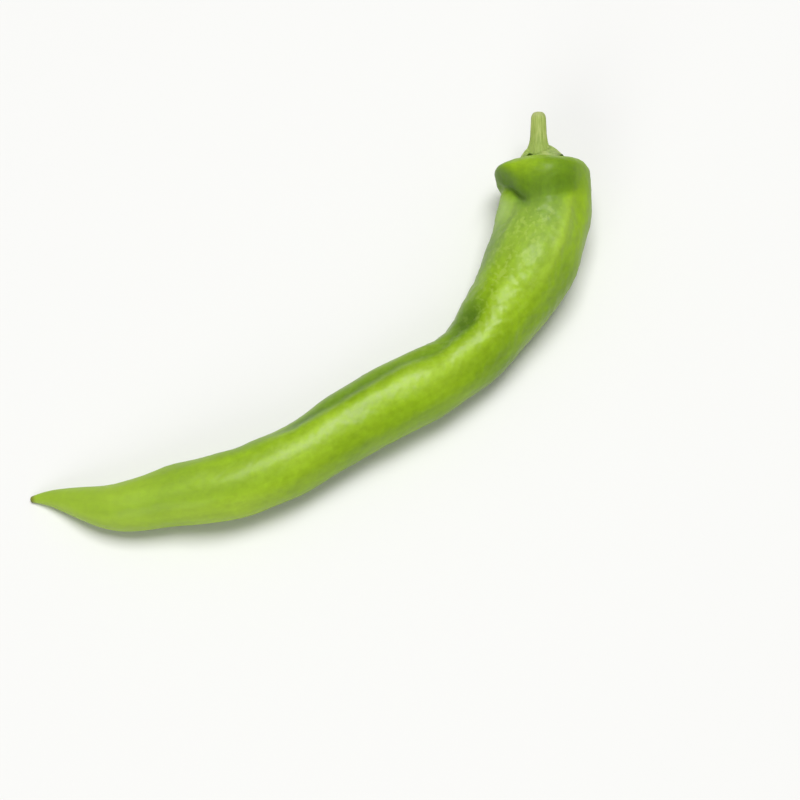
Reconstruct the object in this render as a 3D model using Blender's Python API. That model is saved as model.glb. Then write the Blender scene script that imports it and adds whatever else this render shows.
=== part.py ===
"""A picked long green pepper lying on its side: the pod, its calyx and its cut stalk.

Metres, +Z up. The pod rests on z = 0 along its belly. The crown and stalk are at
the +X end and the tip is at the -X end.
"""
import math

import bmesh
import bpy
import numpy as np

# ---- driving dimensions ---------------------------------------------------
POD_LENGTH = 0.2310        # along the bent centreline, from shoulder to tip
SHOULDER_RADIUS = 0.0154   # largest radius of the pod
CROWN_ROUND = 0.0042       # how far the rounding of the shoulder reaches inwards
CROWN_DIP = 0.0008         # how far the middle of the crown lies below its rim
CROWN_SLANT = 13.0         # degrees the crown leans back from the neck's direction
SLANT_REACH = 0.022        # distance along the pod over which the lean fades out
HEAD_LIFT = 0.0040         # height of the shoulder's underside over the floor
BELLY_FLAT = 0.0003        # how much of the underside is flat where it rests
TIP_START = 0.9905         # share of the centreline where the tip rounds off
TIP_ROUND = 0.8            # length of the rounded tip, as a share of its radius
LOBE_DEPTH = 0.035         # depth of the three lobes, as a share of the radius
FURROW_DEPTH = 0.0011      # long furrow on the inner side of the bend
FURROW_WIDTH = 0.0030
CALYX_RADIUS = 0.0080
CALYX_SKEW = 0.0013        # how much further the calyx reaches on the bend's outer side
CALYX_TOOTH = 0.0006       # how far the teeth stand out of the calyx rim
CALYX_TEETH = 5
CALYX_RISE = 0.0056        # height of the calyx collar over the crown
CALYX_EDGE = 0.0009        # thickness at the rim
STALK_RADIUS = 0.0025
STALK_WAIST = 0.0060       # length over which the stalk narrows above the collar
STALK_FOOT = 0.0036        # radius of the stalk inside the calyx collar
STALK_LENGTH = 0.0170      # from the crown to the cut end
STALK_CURL = 4.0           # degrees the stalk bends up over its length
STALK_ASIDE = 0.0017       # how far the stalk stands from the middle of the crown
GAP = 0.0003               # clearance between pieces that touch
PATH_START = -130.0        # direction from the crown along the pod, degrees

AROUND = 44                # points round the pod
ALONG = 76                 # rings along the pod
AROUND_SMALL = 40          # points round the stalk and calyx

# Share of the pod's length, and how far the centreline has turned by then (degrees).
TURN = [(0.00, 0), (0.03, 0), (0.06, -4), (0.10, -12), (0.16, -23), (0.22, -32),
        (0.28, -35), (0.35, -51), (0.41, -61), (0.48, -59), (0.56, -56), (0.66, -65),
        (0.74, -80), (0.83, -80), (0.90, -104), (0.95, -103), (1.00, -82)]

# Share of the pod's length, and radius as a share of the shoulder radius.
TAPER = [(0.03, 1.00), (0.10, 0.99), (0.16, 1.00), (0.22, 0.88), (0.28, 0.78),
         (0.35, 0.71), (0.41, 0.76), (0.50, 0.75), (0.60, 0.70), (0.67, 0.71),
         (0.74, 0.68), (0.80, 0.59), (0.86, 0.50), (0.91, 0.36), (0.95, 0.22),
         (0.98, 0.11), (1.00, 0.035)]

# Swellings (+) and hollows (-): share of the length, angle from the top (degrees),
# half-length along the pod, half-width round it, height.
SWELLS = [
    (0.03, -95, 0.0060, 0.0100, 0.0008),     # shoulder, on the bend's inner side
    (0.064, -75, 0.0026, 0.0100, -0.0013),   # fold under the shoulder
    (0.068, 5, 0.0024, 0.0110, -0.0006),     # the same fold, fading over the top
    (0.06, 90, 0.0130, 0.0120, 0.0006),      # shoulder, on the outer side
    (0.26, -70, 0.0060, 0.0060, 0.0005),     # knuckle before the bend
    (0.31, -30, 0.0070, 0.0045, -0.0007),    # dent at the inside of the bend
    (0.43, -70, 0.0140, 0.0070, 0.0003),
    (0.64, 100, 0.0100, 0.0070, 0.0003),
    (0.78, -70, 0.0110, 0.0060, 0.0004),
]

# Where the furrow runs: share of the length, angle from the top (degrees), strength.
FURROW = [(0.20, -8, 0.0), (0.26, -16, 0.6), (0.32, -22, 1.0), (0.45, -26, 0.7),
          (0.58, -34, 0.8), (0.66, -46, 0.5), (0.74, -55, 0.0)]


def smooth_table(table, column, x):
    """Value at x of a smooth curve through one column of a table."""
    xs = [row[0] for row in table]
    ys = [row[column] for row in table]
    if x <= xs[0]:
        return ys[0]
    if x >= xs[-1]:
        return ys[-1]
    i = max(k for k in range(len(xs) - 1) if xs[k] <= x)
    slopes = []
    for k in (i, i + 1):
        low = max(k - 1, 0)
        high = min(k + 1, len(xs) - 1)
        slopes.append((ys[high] - ys[low]) / (xs[high] - xs[low]))
    width = xs[i + 1] - xs[i]
    t = (x - xs[i]) / width
    value = (2 * t**3 - 3 * t**2 + 1) * ys[i] + (t**3 - 2 * t**2 + t) * width * slopes[0]
    value += (3 * t**2 - 2 * t**3) * ys[i + 1] + (t**3 - t**2) * width * slopes[1]
    return value


def pod_radius(s):
    return SHOULDER_RADIUS * smooth_table(TAPER, 1, s / POD_LENGTH)


def centreline(count=600):
    """Points along the middle of the pod, one every POD_LENGTH / count."""
    step = POD_LENGTH / count
    points = [np.zeros(3)]
    for i in range(count):
        s = (i + 0.5) * step
        angle = math.radians(PATH_START + smooth_table(TURN, 1, s / POD_LENGTH))
        points.append(points[-1] + step * np.array([math.cos(angle), math.sin(angle), 0.0]))
    for i, point in enumerate(points):
        s = i * step
        lift = HEAD_LIFT * max(0.0, 1.0 - s / (0.22 * POD_LENGTH)) ** 1.3
        point[2] = pod_radius(s) - BELLY_FLAT + lift
    # level out the start, so the crown's plane follows the neck
    slope = (points[0][2] - points[60][2]) / (60 * step)
    for i in range(60):
        points[i][2] = points[60][2] + slope * (60 - i) * step
    return np.array(points)


PATH = centreline()


def frame_at(s):
    """Centre, forward, sideways and upward directions at distance s from the crown."""
    count = len(PATH) - 1
    place = min(max(s / POD_LENGTH, 0.0), 1.0) * count
    i = min(int(place), count - 1)
    centre = PATH[i] + (PATH[i + 1] - PATH[i]) * (place - i)
    low = max(i - 4, 0)
    high = min(i + 5, count)
    forward = PATH[high] - PATH[low]
    forward /= np.linalg.norm(forward)
    if s < 0.0:
        centre = PATH[0] + forward * s
    side = np.cross(forward, (0.0, 0.0, 1.0))
    side /= np.linalg.norm(side)
    up = np.cross(side, forward)
    return centre, forward, side, up


def place(s, radius, angle):
    """Point at distance s along the pod; angle 0 is the top, 90 the bend's outer side."""
    below = max(0.0, s - CROWN_DIP)
    lean = max(0.0, 1.0 - below / SLANT_REACH) ** 2 * math.tan(math.radians(CROWN_SLANT))
    centre, _, side, up = frame_at(s + lean * radius * math.cos(angle))
    return centre - side * radius * math.sin(angle) + up * radius * math.cos(angle)


def crown_s(radius):
    """How far below the crown's highest ring the crown's surface lies at this radius."""
    rim = SHOULDER_RADIUS - CROWN_ROUND
    if radius >= rim:
        return 0.0
    t = radius / rim
    return CROWN_DIP * (1.0 - t * t) ** 2


def lobed(s, angle, radius):
    """Radius with the lobes, the furrow and the swellings added."""
    t = s / POD_LENGTH
    strength = LOBE_DEPTH * (1.0 - 0.75 * min(1.0, t / 0.5))
    result = radius * (1.0 + strength * math.cos(3.0 * (angle - math.radians(250.0 - 90.0 * t))))
    middle = math.radians(smooth_table(FURROW, 1, t))
    depth = FURROW_DEPTH * smooth_table(FURROW, 2, t)
    away = math.remainder(angle - middle, math.tau) * radius
    result -= depth * math.exp(-((away / FURROW_WIDTH) ** 2))
    for share, middle, half_length, half_width, height in SWELLS:
        along = (s - share * POD_LENGTH) / half_length
        across = math.remainder(angle - math.radians(middle), math.tau) * radius / half_width
        result += height * math.exp(-along * along - across * across)
    return result


def loft(name, rings, start, end):
    """A closed mesh through rings of points, with a point at each end."""
    mesh = bmesh.new()
    loops = []
    for ring in rings:
        loops.append([mesh.verts.new(point) for point in ring])
    for a, b in zip(loops, loops[1:]):
        for i in range(len(a)):
            j = (i + 1) % len(a)
            mesh.faces.new((a[i], a[j], b[j], b[i]))
    if start is None:
        a, b = loops[-1], loops[0]
        for i in range(len(a)):
            j = (i + 1) % len(a)
            mesh.faces.new((a[i], a[j], b[j], b[i]))
    else:
        first = mesh.verts.new(start)
        last = mesh.verts.new(end)
        for i in range(len(loops[0])):
            j = (i + 1) % len(loops[0])
            mesh.faces.new((first, loops[0][j], loops[0][i]))
            mesh.faces.new((last, loops[-1][i], loops[-1][j]))
    bmesh.ops.recalc_face_normals(mesh, faces=mesh.faces)
    data = bpy.data.meshes.new(name)
    mesh.to_mesh(data)
    mesh.free()
    thing = bpy.data.objects.new(name, data)
    bpy.context.scene.collection.objects.link(thing)
    return thing


def angles(count):
    return [-math.pi + math.tau * i / count for i in range(count)]


def build_pod():
    rings = []
    rim = SHOULDER_RADIUS - CROWN_ROUND
    for share in (0.18, 0.38, 0.58, 0.78, 0.92):
        radius = rim * share
        rings.append([place(crown_s(radius), radius, a) for a in angles(AROUND)])
    for step in range(0, 7):
        turn = math.radians(15.0 * step)
        s = CROWN_ROUND * (1.0 - math.cos(turn))
        reach = CROWN_ROUND * math.sin(turn)
        grow = math.sin(turn) ** 2
        ring = []
        for a in angles(AROUND):
            plain = rim + reach
            ring.append(place(s, plain + grow * (lobed(s, a, plain) - plain), a))
        rings.append(ring)
    for i in range(1, ALONG + 1):
        s = CROWN_ROUND + (POD_LENGTH * TIP_START - CROWN_ROUND) * i / ALONG
        radius = pod_radius(s)
        rings.append([place(s, lobed(s, a, radius), a) for a in angles(AROUND)])
    tip_radius = pod_radius(POD_LENGTH * TIP_START)
    tip_length = TIP_ROUND * tip_radius
    for turn in (math.radians(30.0), math.radians(60.0)):
        s = POD_LENGTH * TIP_START + tip_length * math.sin(turn)
        radius = tip_radius * math.cos(turn)
        rings.append([place(s, radius, a) for a in angles(AROUND)])
    for ring in rings:
        for point in ring:
            if point[2] < 0.0:
                point[2] = 0.0
    tip = place(POD_LENGTH * TIP_START + tip_length, 0.0, 0.0)
    return loft("pod", rings, place(crown_s(0.0), 0.0, 0.0), tip)


def stalk_point(height, radius, angle):
    """Point of the stalk or calyx at this height over the crown."""
    centre, forward, side, up = frame_at(0.0)
    lean = math.radians(CROWN_SLANT)
    out = up * math.sin(lean) - forward * math.cos(lean)
    across = up * math.cos(lean) + forward * math.sin(lean)
    bend = math.radians(STALK_CURL) * max(height / STALK_LENGTH, 0.0)
    axis = centre + side * STALK_ASIDE
    axis = axis + height * (out * math.cos(bend / 2) + across * math.sin(bend / 2))
    across = across * math.cos(bend) - out * math.sin(bend)
    return axis - side * radius * math.sin(angle) + across * radius * math.cos(angle)


def seat_height(radius, angle):
    """Height at which a point of the stalk or calyx clears the crown under it."""
    from_middle = math.hypot(radius * math.cos(angle), radius * math.sin(angle) - STALK_ASIDE)
    return GAP - crown_s(from_middle)


def stalk_radius(height):
    """Foot radius inside the collar, then a smooth waist up to the stalk's own radius."""
    t = min(max((height - CALYX_RISE) / STALK_WAIST, 0.0), 1.0)
    t = t * t * (3.0 - 2.0 * t)
    return STALK_FOOT + (STALK_RADIUS - STALK_FOOT) * t


def build_stalk():
    rings = []
    for share in (0.5, 1.0):
        radius = STALK_FOOT * share
        ring = []
        for a in angles(AROUND_SMALL):
            ring.append(stalk_point(seat_height(radius, a), radius, a))
        rings.append(ring)
    foot = GAP + 0.0003
    for i in range(0, 22):
        height = foot + (STALK_LENGTH - foot) * i / 22
        radius = stalk_radius(height)
        rings.append([stalk_point(height, radius, a) for a in angles(AROUND_SMALL)])
    for back, share in ((0.02, 0.96), (0.0, 0.8), (0.0, 0.4)):
        height = STALK_LENGTH * (1.0 - back)
        radius = STALK_RADIUS * share
        rings.append([stalk_point(height, radius, a) for a in angles(AROUND_SMALL)])
    start = stalk_point(seat_height(0.0, 0.0), 0.0, 0.0)
    return loft("stem", rings, start, stalk_point(STALK_LENGTH, 0.0, 0.0))


def calyx_edge(angle):
    """Radius of the calyx rim: wider on the bend's outer side, with blunt teeth."""
    return (CALYX_RADIUS + CALYX_SKEW * math.sin(angle)
            + CALYX_TOOTH * math.cos(CALYX_TEETH * angle))


def build_calyx():
    """A collar round the stalk's foot that spreads into a toothed rim on the crown."""
    bore = STALK_FOOT + GAP
    under = (1.0, 0.75, 0.5, 0.25, 0.0)
    rings = []
    for share in under:
        ring = []
        for a in angles(AROUND_SMALL):
            radius = bore + (calyx_edge(a) - bore) * share
            ring.append(stalk_point(seat_height(radius, a), radius, a))
        rings.append(ring)
    for share in (0.0, 0.1, 0.3, 0.5, 0.75, 1.0):
        ring = []
        for a in angles(AROUND_SMALL):
            radius = bore + (calyx_edge(a) - bore) * share
            low = seat_height(radius, a) + CALYX_EDGE
            height = low + (CALYX_RISE - low) * (1.0 - share) ** 1.1
            ring.append(stalk_point(height, radius, a))
        rings.append(ring)
    return loft("calyx", rings, None, None)


def paint(thing, name, colour, roughness):
    material = bpy.data.materials.new(name)
    material.use_nodes = True
    shader = material.node_tree.nodes["Principled BSDF"]
    shader.inputs["Base Color"].default_value = (*colour, 1.0)
    shader.inputs["Roughness"].default_value = roughness
    thing.data.materials.append(material)
    for face in thing.data.polygons:
        face.use_smooth = True


def centre_on_floor(things):
    """Move everything so the middle of the whole box's underside is the origin."""
    points = np.array([vertex.co for thing in things for vertex in thing.data.vertices])
    low = points.min(axis=0)
    high = points.max(axis=0)
    shift = ((low[0] + high[0]) / 2, (low[1] + high[1]) / 2, low[2])
    for thing in things:
        for vertex in thing.data.vertices:
            vertex.co = [value - move for value, move in zip(vertex.co, shift)]


for old in list(bpy.data.objects):
    bpy.data.objects.remove(old, do_unlink=True)

pod = build_pod()
calyx = build_calyx()
stem = build_stalk()
centre_on_floor([pod, calyx, stem])
paint(pod, "pepper_skin", (0.27, 0.45, 0.05), 0.3)
paint(calyx, "calyx_green", (0.36, 0.46, 0.15), 0.5)
paint(stem, "stalk_green", (0.45, 0.55, 0.17), 0.55)
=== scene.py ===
# %% [markdown]
# # A long green pepper on a pale table
# A picked frying pepper lies on its side. It has three parts of its own: the pod, which is
# the fruit; the calyx, the green cap that once held the flower; and the stalk, cut with a
# knife. The solid model gives their places and sizes. This notebook builds the surfaces that
# are looked at: skin with folds and dimples, a ribbed calyx and a ridged stalk.

# %% Load the solid model
import math

import bpy
import numpy as np
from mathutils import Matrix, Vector


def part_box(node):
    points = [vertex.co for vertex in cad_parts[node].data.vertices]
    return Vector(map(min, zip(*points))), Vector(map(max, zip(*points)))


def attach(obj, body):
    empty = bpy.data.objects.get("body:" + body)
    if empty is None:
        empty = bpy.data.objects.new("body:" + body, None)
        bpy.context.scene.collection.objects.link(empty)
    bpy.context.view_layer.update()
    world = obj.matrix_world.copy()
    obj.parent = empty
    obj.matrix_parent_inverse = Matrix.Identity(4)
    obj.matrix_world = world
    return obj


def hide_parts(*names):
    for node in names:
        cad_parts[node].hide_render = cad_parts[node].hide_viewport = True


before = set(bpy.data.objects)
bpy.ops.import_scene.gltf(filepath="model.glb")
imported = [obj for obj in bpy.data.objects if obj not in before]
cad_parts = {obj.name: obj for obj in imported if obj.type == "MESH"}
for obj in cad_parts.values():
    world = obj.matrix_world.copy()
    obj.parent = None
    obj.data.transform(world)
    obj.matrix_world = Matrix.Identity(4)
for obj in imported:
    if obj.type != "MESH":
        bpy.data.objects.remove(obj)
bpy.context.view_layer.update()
MM = 0.001

# %% [markdown]
# ## Soft shapes to build with
# Nothing on a pepper has a sharp edge. Two curves are enough to describe all of it: a hill,
# for a bump or a spot, and a slope, for a change from one side to the other. The same
# curves place the swellings of the skin and its colours.

# %% Hills and slopes
def hill(value, middle, half_width):
    """1 at the middle, about a third at half_width from it, and 0 far away."""
    return np.exp(-((value - middle) / half_width) ** 2)


def rising(value, low, high):
    """0 below low, 1 above high, and a smooth step between."""
    t = np.clip((value - low) / (high - low), 0.0, 1.0)
    return t * t * (3.0 - 2.0 * t)


def between(value, start, full, fading, gone):
    """Rises from start to full, stays at 1, and falls from fading to gone."""
    return rising(value, start, full) * (1 - rising(value, fading, gone))


print("a hill of half-width 2 is", round(float(hill(2.0, 0.0, 2.0)), 2), "at 2 from its top")

# %% [markdown]
# ## The line down the middle of the pod
# A pepper is a bent, tapering tube, so the simplest honest description is a line with a
# radius. Two short tables say how far the line has turned and how thick the pod is at a few
# places along it. A smooth curve goes through each table, and the pod's whole shape follows.

# %% Tables of the pod
POD_LENGTH = 231.0 * MM     # along the bent line, from shoulder to tip
SHOULDER_RADIUS = 15.4 * MM
CROWN_ROUND = 4.2 * MM      # how far the shoulder's rounding reaches inwards
CROWN_DIP = 0.8 * MM        # how far the crown's middle lies below its rim
CROWN_LEAN = math.tan(math.radians(13.0))
LEAN_REACH = 22.0 * MM      # distance along the pod over which the lean fades out
HEAD_LIFT = 4.0 * MM        # height of the shoulder's underside over the table
LIFT_REACH = 0.22           # share of the length over which it comes down
BELLY_FLAT = 0.3 * MM       # how much of the underside is pressed flat
PATH_START = -130.0         # direction from the crown along the pod, degrees

# Share of the pod's length, and how far the line has turned by then (degrees).
TURN = [(0.00, 0), (0.03, 0), (0.06, -4), (0.10, -12), (0.16, -23), (0.22, -32),
        (0.28, -35), (0.35, -51), (0.41, -61), (0.48, -59), (0.56, -56), (0.66, -65),
        (0.74, -80), (0.83, -80), (0.90, -104), (0.95, -103), (1.00, -82)]
# Share of the pod's length, and radius as a share of the shoulder's.
TAPER = [(0.03, 1.00), (0.10, 0.99), (0.16, 1.00), (0.22, 0.88), (0.28, 0.78),
         (0.35, 0.71), (0.41, 0.76), (0.50, 0.75), (0.60, 0.70), (0.67, 0.71),
         (0.74, 0.68), (0.80, 0.59), (0.86, 0.50), (0.91, 0.36), (0.95, 0.22),
         (0.98, 0.11), (1.00, 0.035)]
print("the line turns", TURN[-1][1] - TURN[0][1], "degrees in all, and the pod is",
      round(2 * SHOULDER_RADIUS / MM, 1), "mm thick at most")

# %% A smooth curve through a table
def through(table, x, column=1):
    """Values at x (an array) of a smooth curve through one column of a table."""
    xs = np.array([row[0] for row in table], float)
    ys = np.array([row[column] for row in table], float)
    last = len(xs) - 1
    slopes = np.array([(ys[min(k + 1, last)] - ys[max(k - 1, 0)])
                       / (xs[min(k + 1, last)] - xs[max(k - 1, 0)]) for k in range(last + 1)])
    x = np.clip(np.asarray(x, float), xs[0], xs[-1])
    i = np.clip(np.searchsorted(xs, x, side="right") - 1, 0, last - 1)
    width = xs[i + 1] - xs[i]
    t = (x - xs[i]) / width
    start = (2 * t**3 - 3 * t**2 + 1) * ys[i] + (t**3 - 2 * t**2 + t) * width * slopes[i]
    end = (3 * t**2 - 2 * t**3) * ys[i + 1] + (t**3 - t**2) * width * slopes[i + 1]
    return start + end


print("halfway, the radius is", round(float(through(TAPER, 0.5)), 2), "of the shoulder's")

# %% The line itself
def centreline(count=600, level=60):
    """Points along the middle of the pod; the first ones, up to level, rise evenly."""
    step = POD_LENGTH / count
    middles = (np.arange(count) + 0.5) / count
    angle = np.radians(PATH_START + through(TURN, middles))
    steps = np.stack([np.cos(angle), np.sin(angle), np.zeros(count)], 1) * step
    points = np.vstack([np.zeros((1, 3)), np.cumsum(steps, axis=0)])
    share = np.arange(count + 1) / count
    lift = HEAD_LIFT * np.maximum(0.0, 1.0 - share / LIFT_REACH) ** 1.3
    points[:, 2] = SHOULDER_RADIUS * through(TAPER, share) - BELLY_FLAT + lift
    slope = (points[0, 2] - points[level, 2]) / level
    points[:level, 2] = points[level, 2] + slope * (level - np.arange(level))
    return points


PATH = centreline()
print("centreline of", len(PATH), "points,", round(POD_LENGTH / MM), "mm long")

# %% [markdown]
# ## A frame that travels along the line
# Every point of the skin is found from three numbers: how far along the pod it is, how far
# out, and at which angle round it. Angle 0 is the top, and +90 degrees is the outer side of
# the bend. The crown leans back a little, so points near it slide along the pod.

# %% From (along, out, round) to a place in space
def frames_at(s):
    """Centres and forward, side and up directions at distances s (any array)."""
    count = len(PATH) - 1
    place = np.clip(s / POD_LENGTH, 0.0, 1.0) * count
    i = np.minimum(place.astype(int), count - 1)
    centre = PATH[i] + (PATH[i + 1] - PATH[i]) * (place - i)[..., None]
    # Taken over nine steps of the line, so that it turns smoothly.
    forward = PATH[np.minimum(i + 5, count)] - PATH[np.maximum(i - 4, 0)]
    forward /= np.linalg.norm(forward, axis=-1, keepdims=True)
    centre = centre + forward * np.minimum(s, 0.0)[..., None]
    side = np.cross(forward, (0.0, 0.0, 1.0))
    side /= np.linalg.norm(side, axis=-1, keepdims=True)
    return centre, forward, side, np.cross(side, forward)


def skin_points(s, radius, angle):
    """Points of the skin from distance along, distance out and angle round."""
    below = np.maximum(0.0, s - CROWN_DIP)
    lean = np.maximum(0.0, 1.0 - below / LEAN_REACH) ** 2 * CROWN_LEAN
    centre, _, side, up = frames_at(s + lean * radius * np.cos(angle))
    return (centre - side * (radius * np.sin(angle))[..., None]
            + up * (radius * np.cos(angle))[..., None])


start_forward = frames_at(np.zeros(1))[1][0]
print("the pod sets off towards", start_forward.round(2))

# %% [markdown]
# ## The big shapes of the skin
# The pod is not round. Three faint lobes run down from the shoulder, a furrow follows the
# inner side of the bend, and the shoulder rolls over in a soft fold like the neck of a
# jumper. Each is added to the radius as a smooth bump or groove, with its own real size.

# %% Tables of the furrow, the fold and the swellings
LOBES = 3
LOBE_DEPTH = 0.035          # share of the radius
# Where the furrow runs: share of the length, angle from the top (degrees), strength.
FURROW = [(0.20, -12, 0.0), (0.24, -18, 0.2), (0.295, -28, 0.7), (0.33, -30, 0.9),
          (0.37, -28, 0.9), (0.43, -36, 1.0), (0.52, -36, 1.0), (0.58, -45, 0.9),
          (0.66, -56, 0.0)]
FURROW_DEPTH = 1.15 * MM
FURROW_WIDTH = 3.2 * MM
# The fold under the shoulder: angle, then its distance from the crown, the drop from the
# roll to the neck, the depth of the crease and the bulge of the roll, all in millimetres.
FOLD = [
    (-180, 12.0, 0.3, 0.2, 0.2), (-125, 11.0, 0.3, 0.5, 0.4), (-84, 10.2, 0.6, 1.3, 0.9),
    (-62, 13.6, 1.4, 1.4, 1.1), (-44, 17.8, 2.1, 1.7, 1.1), (-30, 19.2, 2.3, 1.3, 1.1),
    (-14, 18.8, 2.2, 0.7, 1.0), (0, 18.5, 2.1, 0.5, 1.0), (18, 17.0, 1.8, 0.5, 0.8),
    (38, 14.8, 1.1, 0.4, 0.4), (58, 12.5, 0.4, 0.1, 0.1), (75, 12.0, 0.0, 0.0, 0.0),
    (120, 12.0, 0.1, 0.1, 0.1), (180, 12.0, 0.3, 0.2, 0.2)]
# Swellings (+) and hollows (-): share of the length, angle from the top (degrees),
# half-length along the pod, half-width round it and height, in millimetres.
SWELLS = [
    (0.030, -95, 6.0, 10.0, 0.6),     # shoulder, inner side
    (0.060, 90, 13.0, 12.0, 0.6),     # shoulder, outer side
    (0.090, -76, 8.0, 2.6, 1.1),      # thin ridge down the neck's inner side
    (0.105, -58, 7.0, 3.0, -0.9),     # groove beside that ridge
    (0.150, -14, 15.0, 7.0, -0.7),    # flat back of the neck
    (0.115, 34, 11.0, 2.6, 0.7),      # low ridge down the neck
    (0.012, -46, 3.0, 7.0, 0.6),      # corner of the crown
    (0.100, 52, 12.0, 3.0, -0.4),     # groove beyond the low ridge
    (0.018, -64, 3.5, 8.0, 0.9),      # corner of the shoulder
    (0.260, -70, 6.0, 6.0, 0.5),      # knuckle before the bend
    (0.290, -34, 8.0, 6.0, -0.9),     # dent at the inside of the bend
    (0.430, -70, 14.0, 7.0, 0.3),     # low swellings further down the pod
    (0.640, 100, 10.0, 7.0, 0.3),
    (0.780, -70, 11.0, 6.0, 0.4)]
print(len(SWELLS), "swellings and hollows, and a fold", max(row[1] for row in FOLD),
      "mm below the crown at most")

# %% The skin's distance from the line
def away_from(angle, degrees):
    """Shortest way round, in radians, from an angle given in degrees."""
    return (angle - np.radians(degrees) + math.pi) % math.tau - math.pi


def skin_radius(s, angle, radius):
    """Radius with the lobes, the furrow, the fold and the swellings added."""
    share = s / POD_LENGTH
    strength = LOBE_DEPTH * (1.0 - 0.75 * np.minimum(1.0, share / 0.5))
    lobe_angle = 250.0 - 90.0 * share      # the lobes wind round the pod a little
    result = radius * (1.0 + strength * np.cos(LOBES * away_from(angle, lobe_angle)))
    across = away_from(angle, through(FURROW, share)) * radius
    result -= FURROW_DEPTH * through(FURROW, share, 2) * hill(across, 0.0, FURROW_WIDTH)
    degrees = np.degrees(away_from(angle, 0.0))
    past = s / MM - through(FOLD, degrees)         # millimetres below the fold
    # Steep on the roll's side of the fold, and gentle on the neck's side.
    drop = np.where(past < 0, hill(past, 0.0, 6.0), hill(past, 0.0, 20.0))
    crease = np.where(past < 0, hill(past, 0.0, 1.4), hill(past, 0.0, 2.8))
    bulge = hill(past, -11.0, 5.5)
    result += MM * (bulge * through(FOLD, degrees, 4) - drop * through(FOLD, degrees, 2)
                    - crease * through(FOLD, degrees, 3))
    for middle, round_at, half_length, half_width, height in SWELLS:
        across = away_from(angle, round_at) * radius
        result += (height * MM * hill(s, middle * POD_LENGTH, half_length * MM)
                   * hill(across, 0.0, half_width * MM))
    return result


top_of_shoulder = skin_radius(np.array(10 * MM), np.array(0.0), SHOULDER_RADIUS)
print("radius at the top of the shoulder:", round(float(top_of_shoulder) / MM, 1), "mm")

# %% [markdown]
# ## The small relief of the skin
# Up close the skin has shallow dimples, a few millimetres apart, and long faint ribs. A sum
# of many waves with random directions makes such a field. Only whole numbers of waves go
# round the pod, so that the pattern meets itself without a seam.

# %% Random but repeatable waves
def wave_field(seed, count, lengths, around, s, angle):
    """A field of about -1 to 1: waves with lengths along the pod, and a number round it."""
    random = np.random.default_rng(seed)
    total = np.zeros(np.broadcast(s, angle).shape)
    for _ in range(count):
        length = random.uniform(*lengths) * MM
        turns = int(random.integers(around[0], around[1] + 1))
        sign = random.choice([-1.0, 1.0])
        phase = random.uniform(0, math.tau)
        total += np.cos(math.tau * s / length + sign * turns * angle + phase)
    return total / math.sqrt(count)


def skin_relief(s, angle):
    """Height of the small relief over the big shapes, in metres."""
    share = s / POD_LENGTH
    fade = np.clip((1.0 - share) / 0.25, 0.0, 1.0)         # the tip is smooth
    rough = 0.35 + 0.70 * hill(share, 0.19, 0.15)          # the neck is the roughest
    waviness = 0.16 * wave_field(1, 30, (14, 34), (1, 5), s, angle)
    dimples = 0.060 * rough * wave_field(2, 70, (3.5, 9.0), (3, 22), s, angle)
    pits = 0.034 * rough * wave_field(3, 90, (2.2, 4.6), (10, 38), s, angle)
    long_ribs = 0.05 * wave_field(4, 24, (60, 140), (6, 13), s, angle)
    inside_bend = hill(share, 0.30, 0.07) * hill(away_from(angle, -75), 0.0, 0.7)
    wrinkles = 0.10 * inside_bend * wave_field(5, 12, (4.5, 8.0), (0, 2), s, angle)
    return (fade * (waviness + dimples + pits + long_ribs) + wrinkles) * MM


sample = skin_relief(np.linspace(0.0, POD_LENGTH, 400)[:, None], np.linspace(-3, 3, 90)[None])
print("relief from", round(sample.min() / MM, 2), "to", round(sample.max() / MM, 2), "mm")

# %% [markdown]
# ## Painted shade and light on the green
# Shade is painted into the skin's colour where it folds, in the dents, in the furrow and on
# the inner side, and light is painted along the back, down a low ridge of the neck and on the
# outer side near the tip. The skin's own green grows paler towards the tip. A waxy bloom greys
# the neck, and painted highlights and painted highlight specks lie on its ridges and back.
# All three are worked out here for every point, from the same tables as the shape, so that
# the colour always follows the form.

# %% Map of the painted shade and light
def places_on_skin(s, angle):
    """Share of the length, degrees from the top, and millimetres below the fold."""
    degrees = np.degrees(away_from(angle, 0.0))
    return s / POD_LENGTH, degrees, s / MM - through(FOLD, degrees)


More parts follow.
